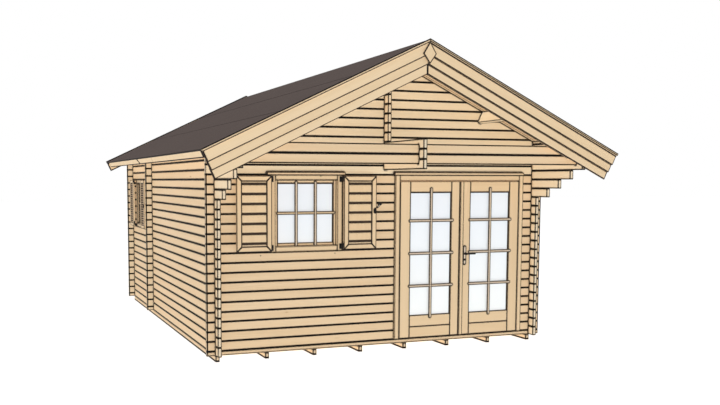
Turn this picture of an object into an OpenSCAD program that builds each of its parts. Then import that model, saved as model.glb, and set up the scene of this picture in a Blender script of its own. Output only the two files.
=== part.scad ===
// Log cabin of planed machine logs with interlocked corners, a double glazed
// door and a shuttered window under a deep front gable overhang, and a back
// room lit by a shuttered side window. All sizes are in millimetres, +Z is up.
// The origin is on the ground under the middle of the whole outline.

/* [Logs] */
// Height of one log course
log_h = 110; // [100:1:120]
// Thickness of the log walls
log_t = 45; // [40:1:50]
// Depth of the V groove between two courses
groove = 5; // [2:1:6]
// Half the height of that groove
groove_h = 6; // [2:1:8]
// How far log ends stand out past a crossing wall
log_end = 100; // [60:5:130]

/* [Plan] */
// Width over the outside faces of the side walls
house_w = 4182; // [4160:2:4300]
// Depth over the outside faces of the front and back walls
house_d = 5457; // [5440:1:5600]
// Distance from the front face to the partition's front face
partition_y = 3697; // [3600:1:3710]
// Height of the foundation joists
joist_h = 70; // [60:1:90]
// Width of the foundation joists
joist_w = 45; // [40:1:60]
// Distance between foundation joists
joist_pitch = 586; // [560:1:590]
// Thickness of the floor boards
floor_t = 28; // [18:1:28]

/* [Roof] */
// Roof pitch in degrees
pitch = 25.5; // [25:0.1:26]
// Height at which the two roof slopes meet
ridge_z = 3533; // [3525:1:3560]
// How far the felt's flat ridge lies under that height
ridge_drop = 16; // [12:1:18]
// Length of the roof slope from ridge to eave
slope_l = 2760; // [2720:5:2800]
// Thickness of the roof boards
deck_t = 19; // [16:1:19]
// Thickness of the roof felt
felt_t = 5; // [3:1:6]
// Distance from the front wall to the back of the front bargeboards
overhang_front = 976; // [970:1:1000]
// Distance from the back wall to the rear edge of the roof boards
overhang_rear = 250; // [230:1:280]
// Width of one bargeboard
barge_w = 118; // [110:1:118]
// Thickness of one bargeboard
barge_t = 19; // [16:1:20]
// Width of the eave fascia boards
fascia_w = 83; // [70:1:90]

/* [Front openings] */
// Centre of the front window from the middle of the house
win_x = -1004; // [-1010:1:-990]
// Width and height of the front window frame
win_w = 880; // [860:1:880]
// Left side of the double door frame
door_x0 = 126; // [120:1:140]
// Width of the double door frame
door_w = 1784; // [1780:1:1790]
// Width of the frame members seen from outside
casing_w = 60; // [50:1:62]
// How far door and window frames stand out of the wall
casing_out = 20; // [15:1:22]

/* [Side window] */
// Distance from the front face to the centre of the side window
side_win_y = 4655; // [4640:1:4670]
// Width of the side window frame
side_win_w = 680; // [660:1:680]

/* [Shutters] */
// Distance from the wall face to the middle plane of an open shutter
shutter_out = 60; // [56:1:64]
// Thickness of a shutter
shutter_t = 30; // [24:1:32]
// Width of the mitred shutter frame
shutter_frame = 62; // [50:1:70]

/* [Hidden] */
$fn = 32;
pine = [0.90, 0.79, 0.63];
pale_pine = [0.93, 0.84, 0.70];
felt_col = [0.35, 0.31, 0.30];
glass_col = [0.85, 0.92, 0.97, 0.4];
iron = [0.12, 0.11, 0.11];
steel = [0.75, 0.75, 0.76];

hw = house_w / 2;
hi = hw - log_t;
c = cos(pitch);
s = sin(pitch);
roof_x = slope_l * c;
deck_v = felt_t + deck_t;
trim_out = overhang_front + 3 * barge_t + 20;
rear_y = house_d + overhang_rear;
y_front = -trim_out;
y_back = rear_y + 34;
y_mid = (y_front + y_back) / 2;
under_z = ridge_z - deck_v / c;
sill_z = joist_h + log_h / 2;
head_z = sill_z + 18 * log_h;
// Course heights: side walls start with a whole log, cross walls with a half
function side_joint(k) = joist_h + k * log_h;
function cross_joint(k) = sill_z + k * log_h;
corbel_z = side_joint(16);
win_z0 = cross_joint(10);
win_z1 = head_z;
side_win_z0 = side_joint(11);
side_win_z1 = side_joint(18);
stack_z0 = side_joint(19);
stack_z1 = side_joint(22);
beam_y = overhang_front - log_end;
pin_in = 10.5;
leaf_gap = 5;

module place() { translate([0, -y_mid, 0]) children(); }

// Prism along Y from a section given as [x, z] points
module along_y(pts, y0, y1) {
  translate([0, y1, 0]) rotate([90, 0, 0])
    linear_extrude(height = y1 - y0) polygon(pts);
}
// Prism along X from a section given as [y, z] points
module along_x(pts, x0, x1) {
  translate([x0, 0, 0]) rotate([90, 0, 90])
    linear_extrude(height = x1 - x0) polygon(pts);
}
module box(x0, x1, y0, y1, z0, z1) {
  translate([x0, y0, z0]) cube([x1 - x0, y1 - y0, z1 - z0]);
}

// Section of stacked logs, a to a + log_t wide, with a V groove at each joint
function rising(a, d, z0, z1, js) =
  [for (z = js) if (z > z0 + 1 && z < z1 - 1)
    each [[a, z - groove_h], [a + d * groove, z], [a, z + groove_h]]];
function falling(a, d, z0, z1, js) =
  [for (i = [len(js) - 1 : -1 : 0]) let (z = js[i]) if (z > z0 + 1 && z < z1 - 1)
    each [[a, z + groove_h], [a + d * groove, z], [a, z - groove_h]]];
function log_section(a, z0, z1, js) = concat(
  [[a + groove, z0], [a, z0 + groove_h]],
  rising(a, 1, z0, z1, js),
  [[a, z1 - groove_h], [a + groove, z1], [a + log_t - groove, z1],
   [a + log_t, z1 - groove_h]],
  falling(a + log_t, -1, z0, z1, js),
  [[a + log_t, z0 + groove_h], [a + log_t - groove, z0]]);
side_js = [for (k = [0:34]) side_joint(k)];
cross_js = [for (k = [0:34]) cross_joint(k)];

// Everything below the roof boards
module below_roof() {
  along_y([[-hw - 400, 0], [-hw - 400, under_z - (hw + 400) * s / c],
    [0, under_z], [hw + 400, under_z - (hw + 400) * s / c], [hw + 400, 0]],
    y_front, y_back);
}
// One slope member between two distances below the roof surface, measured
// square to the slope, and cut plumb at the ridge
module slope_member(side, v0, v1, y0, y1, u1 = slope_l, u0 = 0, gap = 0) {
  t = s / c * gap;
  pts = u0 == 0
    ? [[gap, ridge_z - v0 / c - t], [u1 * c - v0 * s, ridge_z - u1 * s - v0 * c],
       [u1 * c - v1 * s, ridge_z - u1 * s - v1 * c], [gap, ridge_z - v1 / c - t]]
    : [[u0 * c - v0 * s, ridge_z - u0 * s - v0 * c],
       [u1 * c - v0 * s, ridge_z - u1 * s - v0 * c],
       [u1 * c - v1 * s, ridge_z - u1 * s - v1 * c],
       [u0 * c - v1 * s, ridge_z - u0 * s - v1 * c]];
  along_y([for (p = pts) [side * p[0], p[1]]], y0, y1);
}

// Corner halving: the middle half of each log stays at a crossing. These are
// the parts that the side walls keep, taken out of the cross walls
module side_keeps(x0, y0, k0 = 0, k1 = 21, w = log_t, d = log_t) {
  for (k = [k0:k1])
    box(x0, x0 + w, y0, y0 + d, side_joint(k) + log_h / 4, side_joint(k) + 3 * log_h / 4);
}
// The parts that the cross walls keep, taken out of the side walls
module cross_keeps(x0, y0, k0 = 0, k1 = 20, foot = true, top = true) {
  if (foot) box(x0, x0 + log_t, y0, y0 + log_t, joist_h - 1, joist_h + log_h / 4);
  for (k = [k0:k1])
    box(x0, x0 + log_t, y0, y0 + log_t, cross_joint(k) + log_h / 4, cross_joint(k) + 3 * log_h / 4);
  if (top) box(x0, x0 + log_t, y0, y0 + log_t, cross_joint(k1 + 1) + log_h / 4, ridge_z);
}
module corner_side_keeps(y0) {
  side_keeps(-hw, y0);
  side_keeps(hi, y0);
}
// Purlin and ridge log passages through a cross wall
purlin_u = 1463.5;
purlin_v = 169.5;
module passages(y0, k0) {
  for (m = [-1, 1]) slope_member(m, 0, purlin_v, y0 - 1, y0 + log_t + 1, purlin_u + log_t, purlin_u);
  side_keeps(-log_t / 2, y0, k0, 30);
}
module cross_wall(x0, x1, y0, z0, z1) {
  difference() {
    along_x(log_section(y0, z0, z1, cross_js), x0, x1);
    corner_side_keeps(y0);
    passages(y0, 19);
  }
}
// Ends of the cross logs outside the side walls stop under the eaves
module end_trim(y0) {
  for (m = [-1, 1]) box(m * (hw + 200) - 200, m * (hw + 200) + 200, y0 - 1, y0 + log_t + 1, cross_joint(21), ridge_z);
}

module foundation_joists() color(pine) place()
  for (k = [0:7]) box(-hw + k * joist_pitch, -hw + k * joist_pitch + joist_w, 0, house_d, 0, joist_h);

module floor() color(pale_pine) place() {
  box(-hi, hi, log_t, partition_y, joist_h, joist_h + floor_t);
  box(-hi, hi, partition_y + log_t, house_d - log_t, joist_h, joist_h + floor_t);
}

module front_sill_log() color(pine) place()
  difference() {
    along_x(log_section(0, joist_h, sill_z, cross_js), -hw - log_end, hw + log_end);
    side_keeps(-hw, 0, 0, 0);
    side_keeps(hi, 0, 0, 0);
  }

module front_wall_left() color(pine) place()
  difference() {
    along_x(log_section(0, sill_z, head_z, cross_js), -hw - log_end, door_x0);
    side_keeps(-hw, 0, 0, 18);
    box(win_x - win_w / 2, win_x + win_w / 2, -1, log_t + 1, win_z0, head_z + 1);
  }

module front_wall_right() color(pine) place()
  difference() {
    along_x(log_section(0, sill_z, head_z, cross_js), door_x0 + door_w, hw + log_end);
    side_keeps(hi, 0, 0, 18);
  }

module gable_wall(y0, z0) {
  difference() {
    intersection() {
      along_x(log_section(y0, z0, ridge_z + log_h, cross_js), -hw - log_end, hw + log_end);
      below_roof();
    }
    corner_side_keeps(y0);
    passages(y0, 19);
    end_trim(y0);
  }
}
module front_gable() color(pine) place() gable_wall(0, head_z);

// Side wall with its corbelled log ends under the front overhang
module side_wall(x0) {
  difference() {
    intersection() {
      along_y(log_section(x0, joist_h, side_joint(23), side_js), -overhang_front, house_d + log_end);
      below_roof();
    }
    box(x0 - 1, x0 + log_t + 1, -overhang_front - 1, -log_end, 0, corbel_z);
    for (k = [1:3])
      box(x0 - 1, x0 + log_t + 1, -overhang_front - 1, -log_end - 220 * k, 0, corbel_z + k * log_h);
    cross_keeps(x0, 0);
    cross_keeps(x0, partition_y);
    cross_keeps(x0, house_d - log_t);
    cross_keeps(x0, -beam_y, 19, 20, false, false);
  }
}
module left_wall() color(pine) place()
  difference() {
    side_wall(-hw);
    box(-hw - 1, -hi + 1, side_win_y - side_win_w / 2, side_win_y + side_win_w / 2, side_win_z0, side_win_z1);
  }
module right_wall() color(pine) place() side_wall(hi);

module back_wall() color(pine) place() gable_wall(house_d - log_t, joist_h);

// Inner doorway in the partition, in line with the outside door
inner_x = door_x0 + door_w / 2;
module partition_left() color(pine) place()
  cross_wall(-hw - log_end, inner_x - 400, partition_y, joist_h, head_z);
module partition_right() color(pine) place()
  cross_wall(inner_x + 400, hw + log_end, partition_y, joist_h, head_z);
module partition_gable() color(pine) place() gable_wall(partition_y, head_z);

module ridge_logs() color(pine) place()
  difference() {
    intersection() {
      along_y(log_section(-log_t / 2, stack_z0, ridge_z + log_h, side_js), -overhang_front, house_d + log_end);
      below_roof();
    }
    box(-log_t, log_t, -overhang_front - 1, -log_end, stack_z1, ridge_z + log_h);
    for (y0 = [0, partition_y, house_d - log_t]) {
      for (k = [19:29])
        box(-log_t / 2, log_t / 2, y0, y0 + log_t, cross_joint(k) + log_h / 4, cross_joint(k) + 3 * log_h / 4);
      box(-log_t / 2, log_t / 2, y0, y0 + log_t, stack_z0 - 1, cross_joint(18) + 3 * log_h / 4);
      box(-log_t / 2, log_t / 2, y0, y0 + log_t, side_joint(30) + 3 * log_h / 4, ridge_z);
    }
    for (k = [19:20])
      box(-log_t / 2, log_t / 2, -beam_y, -beam_y + log_t, cross_joint(k) + log_h / 4, cross_joint(k) + 3 * log_h / 4);
  }

module front_beam() color(pine) place()
  difference() {
    along_x(log_section(-beam_y, cross_joint(19), cross_joint(21), cross_js), -hw - log_end, hw + log_end);
    for (x0 = [-hw, -log_t / 2, hi])
      side_keeps(x0, -beam_y, 19, 21);
  }

module purlins() color(pine) place()
  for (m = [-1, 1])
    slope_member(m, deck_v, purlin_v, -overhang_front - barge_t, rear_y, purlin_u + log_t, purlin_u);

roof_y0 = -overhang_front - 2 * barge_t;
flat_z = ridge_z - ridge_drop;
module roof_deck(m)
  difference() {
    slope_member(m, felt_t, deck_v, roof_y0, rear_y, slope_l - barge_t);
    box(-200, 200, roof_y0 - 1, rear_y + 1, flat_z - felt_t, ridge_z);
  }
module roof_deck_left() color(pine) place() roof_deck(-1);
module roof_deck_right() color(pine) place() roof_deck(1);

// One skin over both slopes with a flat ridge
module roof_felt() color(felt_col) place() {
  half = [[ridge_drop * c / s, flat_z], [roof_x, ridge_z - slope_l * s],
    [roof_x - felt_t * s, ridge_z - slope_l * s - felt_t * c],
    [(ridge_drop + felt_t - felt_t / c) * c / s, flat_z - felt_t]];
  along_y(concat(half, [for (i = [3:-1:0]) [-half[i][0], half[i][1]]]), roof_y0, rear_y);
}

// Three overlapping boards step back down the verge, on a backing rafter
module bargeboards(m) {
  v1 = deck_v;
  for (k = [0:2]) {
    v = v1 + k * (barge_w - 25);
    y = -overhang_front - (3 - k) * barge_t;
    slope_member(m, v, v + barge_w, y, y + barge_t);
  }
  slope_member(m, v1 + 2 * (barge_w - 25), v1 + 2 * (barge_w - 25) + barge_w, -overhang_front, -overhang_front + 20, 2200);
}
module bargeboards_left() color(pine) place() bargeboards(-1);
module bargeboards_right() color(pine) place() bargeboards(1);

module verge_trims() color(pale_pine) place()
  for (m = [-1, 1]) {
    slope_member(m, felt_t, deck_v - 0.05, -trim_out, roof_y0, gap = 0.5);
    slope_member(m, -8, deck_v - 0.05, rear_y, y_back, gap = 0.5);
  }

diamond_z = ridge_z - (deck_v + barge_w - 2) / c;
module gable_diamond() color(pale_pine) place()
  along_y([[0, under_z], [80, diamond_z], [0, diamond_z - 111], [-80, diamond_z]],
    -trim_out, -overhang_front - 3 * barge_t);

module rear_bargeboards() color(pine) place()
  for (m = [-1, 1]) slope_member(m, deck_v, deck_v + 141, rear_y, rear_y + barge_t, gap = 0.5);

module eave_fascia(m)
  slope_member(m, felt_t, felt_t + fascia_w, -overhang_front, house_d, slope_l, slope_l - barge_t);
module eave_fascia_left() color(pine) place() eave_fascia(-1);
module eave_fascia_right() color(pine) place() eave_fascia(1);

// A frame set in an opening of a wall whose outside face is y = 0: casing,
// lining and glazed sash in one
module window_frame(w, z0, z1) {
  y1 = log_t + casing_out;
  difference() {
    box(-w / 2, w / 2, -casing_out, y1, z0, z1);
    box(-w / 2 + casing_w, w / 2 - casing_w, -casing_out - 1, y1 + 1, z0 + casing_w, z1 - casing_w);
  }
  difference() {
    box(-w / 2 + casing_w, w / 2 - casing_w, 20, 60, z0 + casing_w, z1 - casing_w);
    box(-w / 2 + casing_w + 36, w / 2 - casing_w - 36, 19, 61, z0 + casing_w + 36, z1 - casing_w - 36);
  }
}
module window_glass(w, z0, z1)
  box(-w / 2 + casing_w + 36, w / 2 - casing_w - 36, 38, 42, z0 + casing_w + 36, z1 - casing_w - 36);
// Front face of the left wall seen as y = 0 with x running backwards
module on_left_wall() { translate([-hw, side_win_y, 0]) rotate([0, 0, -90]) children(); }

module front_window_frame() color(pine) place()
  translate([win_x, 0, 0]) window_frame(win_w, win_z0, win_z1);
module front_window_glass() color(glass_col) place()
  translate([win_x, 0, 0]) window_glass(win_w, win_z0, win_z1);
module side_window_frame() color(pine) place()
  on_left_wall() window_frame(side_win_w, side_win_z0, side_win_z1);
module side_window_glass() color(glass_col) place()
  on_left_wall() window_glass(side_win_w, side_win_z0, side_win_z1);

module head_trim(x0, x1) {
  difference() {
    box(x0, x1, -40, 0, head_z - 7, head_z + 31);
    box(x0 - 1, x1 + 1, -casing_out, 1, head_z - 8, head_z);
  }
}
module head_trims() color(pale_pine) place() {
  head_trim(win_x - win_w / 2 - 45, win_x + win_w / 2 + 33);
  head_trim(door_x0 - 21, door_x0 + door_w - 5);
}

leaf_x0 = door_x0 + casing_w + leaf_gap;
leaf_x1 = door_x0 + door_w - casing_w - leaf_gap;
meet_x = 1003;
leaf_z0 = sill_z + 5;
leaf_z1 = head_z - 77;
leaf_y0 = -18;
leaf_y1 = 22;
door_pin_y = leaf_y1 + 8;
door_pin_l = leaf_x0 - 2.5;
door_pin_r = leaf_x1 + 2.5;
module door_frame() color(pine) place() {
  x0 = door_x0;
  x1 = door_x0 + door_w;
  difference() {
    box(x0, x1, -casing_out, leaf_y1, sill_z, head_z);
    box(x0 + casing_w, x1 - casing_w, -casing_out - 1, leaf_y1 + 1, sill_z - 1, head_z - 72);
  }
  difference() {
    box(x0, x1, leaf_y1, log_t + casing_out, sill_z, head_z);
    box(x0 + casing_w - 16, x1 - casing_w + 16, leaf_y1 - 1, log_t + casing_out + 1, sill_z - 1, head_z - 56);
  }
}

hinge_zs = [330, 1080, 1830];
module door_hinges() color(iron) place()
  for (z = hinge_zs) {
    translate([door_pin_l, door_pin_y, z]) cylinder(r = 7, h = 44);
    box(door_pin_l - 14, door_pin_l - 2.6, leaf_y1, leaf_y1 + 5, z, z + 44);
    translate([door_pin_r, door_pin_y, z]) cylinder(r = 7, h = 44);
    box(door_pin_r + 2.6, door_pin_r + 14, leaf_y1, leaf_y1 + 5, z, z + 44);
  }
module leaf_knuckles(x, d) {
  for (z = hinge_zs) {
    translate([x, door_pin_y, z + 45]) cylinder(r = 7, h = 44);
    box(min(x, x + d * 46), max(x, x + d * 46), leaf_y1 - 1, leaf_y1 + 4, z + 45, z + 89);
  }
}
module door_leaf(x0, x1, g0, g1) {
  difference() {
    box(x0, x1, leaf_y0, leaf_y1, leaf_z0, leaf_z1);
    box(g0, g1, leaf_y0 - 1, leaf_y1 + 1, 403, 1896);
  }
}
module door_leaf_left() color(pine) place() {
  door_leaf(leaf_x0, meet_x - 3.5, 327, 886);
  leaf_knuckles(door_pin_l, 1);
}
lever_x = 1079;
lever_z = 1138;
module door_leaf_right() color(pine) place()
  difference() {
    union() {
      door_leaf(meet_x + 3.5, leaf_x1, 1152, 1711);
      box(meet_x + 3.5, 1052, leaf_y0 - 12, leaf_y0, leaf_z0, leaf_z1);
      leaf_knuckles(door_pin_r, -1);
    }
    translate([lever_x, leaf_y0 - 20, lever_z]) rotate([-90, 0, 0]) cylinder(r = 9, h = 80);
  }
module door_glass_left() color(glass_col) place() box(327, 886, 0, 4, 403, 1896);
module door_glass_right() color(glass_col) place() box(1152, 1711, 0, 4, 403, 1896);

module lock_plate(y0) {
  difference() {
    union() {
      box(lever_x - 23, lever_x + 23, y0, y0 + 8, 1018, 1218);
      for (z = [1018, 1218])
        translate([lever_x, y0, z]) rotate([-90, 0, 0]) cylinder(r = 23, h = 8);
    }
    translate([lever_x, y0 - 1, lever_z]) rotate([-90, 0, 0]) cylinder(r = 5.55, h = 10);
  }
}
module door_lock_plates() color(steel) place() {
  lock_plate(leaf_y0 - 8);
  lock_plate(leaf_y1);
}
module door_handle() color(steel) place() {
  translate([lever_x, leaf_y0 - 60, lever_z]) rotate([-90, 0, 0]) cylinder(r = 5.5, h = 160);
  for (y0 = [leaf_y0 - 60, leaf_y1 + 46]) {
    translate([lever_x, y0, lever_z]) rotate([-90, 0, 0]) cylinder(r = 11, h = 14);
    box(lever_x, lever_x + 125, y0, y0 + 14, lever_z - 9, lever_z + 9);
  }
}

// One open shutter: x runs from the hinge pin to the free edge, z from its foot
shutter_w = win_w / 2 - 2 * pin_in - 3;
side_shutter_w = side_win_w / 2 - 2 * pin_in - 3;
shutter_z0 = win_z0 + 11;
shutter_z1 = head_z - 13;
side_shutter_z0 = side_win_z0 + 11;
side_shutter_z1 = side_win_z1 - 8;
module shutter(w, z0, z1) {
  f = shutter_frame;
  difference() {
    box(pin_in, pin_in + w, -shutter_t / 2, shutter_t / 2, z0, z1);
    for (m = [0, 1]) mirror([0, m, 0])
      box(pin_in + f, pin_in + w - f, 7, shutter_t, z0 + f, z1 - f);
  }
  for (z = [z0 + 44, z1 - 32]) {
    translate([0, 0, z]) cylinder(r = 7, h = 30);
    box(0, pin_in + 30, -2, 2, z, z + 30);
  }
}
// Fixed part of the shutter hinges, on the pin's axis with y towards the wall
module shutter_bracket(z0, z1, d) {
  reach = shutter_out - casing_out;
  for (z = [z0 + 44, z1 - 32]) {
    translate([0, 0, z - 31]) cylinder(r = 7, h = 30);
    box(-4, 4, 0, reach, z - 31, z - 1);
    box(d > 0 ? -9 : -31, d > 0 ? 31 : 9, reach - 4, reach, z - 38, z + 6);
  }
}
pin_l = win_x - win_w / 2 + pin_in;
pin_r = win_x + win_w / 2 - pin_in;
pin_f = side_win_y - side_win_w / 2 + pin_in;
pin_b = side_win_y + side_win_w / 2 - pin_in;
side_pin_x = -hw - shutter_out;
module front_shutter_left() color(pale_pine) place()
  translate([pin_l, -shutter_out, 0]) rotate([0, 0, 180]) shutter(shutter_w, shutter_z0, shutter_z1);
module front_shutter_right() color(pale_pine) place()
  translate([pin_r, -shutter_out, 0]) shutter(shutter_w, shutter_z0, shutter_z1);
module side_shutter_front() color(pale_pine) place()
  translate([side_pin_x, pin_f, 0]) rotate([0, 0, -90]) shutter(side_shutter_w, side_shutter_z0, side_shutter_z1);
module side_shutter_rear() color(pale_pine) place()
  translate([side_pin_x, pin_b, 0]) rotate([0, 0, 90]) shutter(side_shutter_w, side_shutter_z0, side_shutter_z1);
module shutter_brackets() color(iron) place() {
  translate([pin_l, -shutter_out, 0]) shutter_bracket(shutter_z0, shutter_z1, 1);
  translate([pin_r, -shutter_out, 0]) shutter_bracket(shutter_z0, shutter_z1, -1);
  translate([side_pin_x, pin_f, 0]) rotate([0, 0, -90]) shutter_bracket(side_shutter_z0, side_shutter_z1, -1);
  translate([side_pin_x, pin_b, 0]) rotate([0, 0, -90]) shutter_bracket(side_shutter_z0, side_shutter_z1, 1);
}
// Hook stay on the wall beside a shutter's free edge, swung clear of it
module stay(z) {
  translate([0, 0, z]) rotate([90, 0, 0]) cylinder(r = 15, h = 5);
  translate([0, 0, z]) rotate([90, 0, 0]) cylinder(r = 5, h = 58);
  translate([0, -55, z]) rotate([0, 45, 0]) translate([-8, -5, -68]) cube([16, 10, 68]);
}
stay_gap = 60;
module shutter_stays() color(iron) place() {
  translate([pin_r + pin_in + shutter_w + stay_gap, 0, 0]) stay(1763);
  translate([-hw, pin_b + pin_in + side_shutter_w + stay_gap, 0]) rotate([0, 0, -90]) mirror([1, 0, 0]) stay(1718);
  translate([-hw, pin_f - pin_in - side_shutter_w - stay_gap, 0]) rotate([0, 0, -90]) stay(1718);
}

foundation_joists();
floor();
front_sill_log();
front_wall_left();
front_wall_right();
front_gable();
left_wall();
right_wall();
back_wall();
partition_left();
partition_right();
partition_gable();
ridge_logs();
front_beam();
purlins();
roof_deck_left();
roof_deck_right();
roof_felt();
bargeboards_left();
bargeboards_right();
verge_trims();
gable_diamond();
rear_bargeboards();
eave_fascia_left();
eave_fascia_right();
front_window_frame();
front_window_glass();
side_window_frame();
side_window_glass();
head_trims();
door_frame();
door_hinges();
door_leaf_left();
door_glass_left();
door_leaf_right();
door_glass_right();
door_lock_plates();
door_handle();
front_shutter_left();
front_shutter_right();
side_shutter_front();
side_shutter_rear();
shutter_brackets();
shutter_stays();
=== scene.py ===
import bpy
import bmesh
import math
import random
from mathutils import Vector, Matrix


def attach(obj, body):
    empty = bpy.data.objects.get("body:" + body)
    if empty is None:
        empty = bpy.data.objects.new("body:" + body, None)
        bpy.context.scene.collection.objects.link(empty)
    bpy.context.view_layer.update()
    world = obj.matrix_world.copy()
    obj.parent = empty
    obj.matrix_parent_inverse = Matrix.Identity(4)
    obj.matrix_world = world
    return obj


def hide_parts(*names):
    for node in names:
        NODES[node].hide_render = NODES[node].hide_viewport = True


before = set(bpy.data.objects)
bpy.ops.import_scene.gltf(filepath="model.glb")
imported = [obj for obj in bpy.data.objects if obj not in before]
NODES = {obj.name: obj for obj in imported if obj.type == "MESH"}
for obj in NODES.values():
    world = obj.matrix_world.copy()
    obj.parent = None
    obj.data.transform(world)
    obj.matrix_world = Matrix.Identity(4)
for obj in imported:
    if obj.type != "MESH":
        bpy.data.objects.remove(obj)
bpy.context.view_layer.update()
SC = bpy.context.scene

# ---------------------------------------------------------------- numbers
# House millimetres: x right, y back from the front wall's face, z up.
YM = 2344.0
HW = 2091.0
LOG = 110.0
LOG_T = 45.0
SILL_Z = 125.0
HEAD_Z = 2105.0
RIDGE = 3533.0
PITCH = math.radians(25.5)
CS, SN = math.cos(PITCH), math.sin(PITCH)


def H(x, y, z):
    return Vector((x / 1000.0, (y - YM) / 1000.0, z / 1000.0))


def lin(r, g, b):
    out = []
    for v in (r, g, b):
        v /= 255.0
        out.append(v / 12.92 if v <= 0.04045 else ((v + 0.055) / 1.055) ** 2.4)
    return out


X, Y, Z = Vector((1, 0, 0)), Vector((0, 1, 0)), Vector((0, 0, 1))


# ---------------------------------------------------------------- mesh kit
class Kit:
    """Gathers boards into one mesh. Each board keeps its own grain direction,
    offset and tone in vertex attributes."""

    def __init__(self, seed):
        self.rng = random.Random(seed)
        self.v, self.f, self.m, self.s = [], [], [], []
        self.g, self.t = [], []

    def _take(self, bm, o, A, B, C, grain, mat, end, tone, smooth):
        n0 = len(self.v)
        h = C.cross(grain)
        off = [self.rng.uniform(0, 40) for _ in range(3)]
        if tone is None:
            tone = self.rng.uniform(-1, 1)
        bm.normal_update()
        for v in bm.verts:
            d = v.co - o
            self.v.append(v.co[:])
            self.g.append((d.dot(grain) + off[0], d.dot(h) + off[1], d.dot(C) + off[2]))
            self.t.append(tone)
        for f in bm.faces:
            self.f.append([n0 + v.index for v in f.verts])
            if f.material_index:
                self.m.append(f.material_index)
            else:
                self.m.append(end if end is not None and abs(f.normal.dot(grain)) > 0.8 else mat)
            self.s.append(smooth and len(f.verts) < 7)
        bm.free()

    def slab(self, o, A, B, pts, t0, t1, bevel=2.0, grain=None, mat=0, end=1, tone=None,
             seg=1, smooth=False, rim=0.0, rimmat=2, faces=0):
        """Outline pts (mm, along A and B from o) given thickness t0..t1 mm along A x B.
        rim darkens a strip of that width along every arris with material rimmat,
        on the largest faces only if faces says how many."""
        A, B = A.normalized(), B.normalized()
        C = A.cross(B)
        bm = bmesh.new()
        lo = [bm.verts.new(o + (A * a + B * b + C * t0) / 1000.0) for a, b in pts]
        hi = [bm.verts.new(o + (A * a + B * b + C * t1) / 1000.0) for a, b in pts]
        n = len(pts)
        bm.faces.new(list(reversed(lo)))
        bm.faces.new(hi)
        for i in range(n):
            bm.faces.new((lo[i], lo[(i + 1) % n], hi[(i + 1) % n], hi[i]))
        bmesh.ops.recalc_face_normals(bm, faces=bm.faces)
        if bevel:
            bmesh.ops.bevel(bm, geom=bm.edges[:], offset=bevel / 1000.0, segments=seg,
                            profile=0.5, affect="EDGES", clamp_overlap=True)
        if rim:
            big = sorted(bm.faces, key=lambda f: -f.calc_area())[:n + 2]
            keep = set(big)
            for f in bm.faces:
                if f not in keep and not faces:
                    f.material_index = rimmat
            for f in big[:faces or n + 2]:
                across = f.calc_area() / max(e.calc_length() for e in f.edges)
                wide = min(rim / 1000.0, 0.3 * across)
                ring = bmesh.ops.inset_individual(bm, faces=[f], thickness=wide, depth=0.0, use_even_offset=True)
                for r in ring["faces"]:
                    r.material_index = rimmat
        bm.verts.index_update()
        self._take(bm, o, A, B, C, (grain or A).normalized(), mat, end, tone, smooth)

    def box(self, x0, x1, y0, y1, z0, z1, bevel=2.0, grain="x", **kw):
        """Board between house coordinates, with its grain along x, y or z."""
        o = H(x0, y0, z0)
        dx, dy, dz = x1 - x0, y1 - y0, z1 - z0
        if grain == "x":
            self.slab(o, X, Y, [(0, 0), (dx, 0), (dx, dy), (0, dy)], 0, dz, bevel, X, **kw)
        elif grain == "y":
            self.slab(o, Y, Z, [(0, 0), (dy, 0), (dy, dz), (0, dz)], 0, dx, bevel, Y, **kw)
        else:
            self.slab(o, Z, X, [(0, 0), (dz, 0), (dz, dx), (0, dx)], 0, dy, bevel, Z, **kw)

    def rod(self, p, axis, r, length, bevel=1.0, n=24, **kw):
        axis = axis.normalized()
        A = (X if abs(axis.x) < 0.9 else Y).cross(axis).normalized()
        B = axis.cross(A)
        pts = [(r * math.cos(2 * math.pi * i / n), r * math.sin(2 * math.pi * i / n)) for i in range(n)]
        bm = bmesh.new()
        C = A.cross(B)
        k = min(bevel, r * 0.6, length * 0.3)
        rings = [(r - k, 0), (r - 0.3 * k, 0.3 * k), (r, k), (r, length - k),
                 (r - 0.3 * k, length - 0.3 * k), (r - k, length)]
        rows = []
        for rr, t in rings:
            rows.append([bm.verts.new(p + (A * a * rr / r + B * b * rr / r + C * t) / 1000.0) for a, b in pts])
        bm.faces.new(list(reversed(rows[0])))
        bm.faces.new(rows[-1])
        for q in range(len(rows) - 1):
            for i in range(n):
                j = (i + 1) % n
                bm.faces.new((rows[q][i], rows[q][j], rows[q + 1][j], rows[q + 1][i]))
        bmesh.ops.recalc_face_normals(bm, faces=bm.faces)
        bm.verts.index_update()
        self._take(bm, p, A, B, C, C, kw.get("mat", 0), kw.get("end"), kw.get("tone"), True)

    def make(self, name, mats, body, replaces=(), turn=None):
        me = bpy.data.meshes.new(name)
        v = self.v if turn is None else [(turn @ Vector(p))[:] for p in self.v]
        me.from_pydata(v, [], self.f)
        me.polygons.foreach_set("material_index", self.m)
        me.polygons.foreach_set("use_smooth", self.s)
        a = me.attributes.new("grain", "FLOAT_VECTOR", "POINT")
        a.data.foreach_set("vector", [c for g in self.g for c in g])
        a = me.attributes.new("tone", "FLOAT", "POINT")
        a.data.foreach_set("value", self.t)
        me.update()
        ob = bpy.data.objects.new(name, me)
        SC.collection.objects.link(ob)
        for m in mats:
            me.materials.append(m)
        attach(ob, body)
        if replaces:
            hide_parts(*replaces)
        return ob


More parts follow.
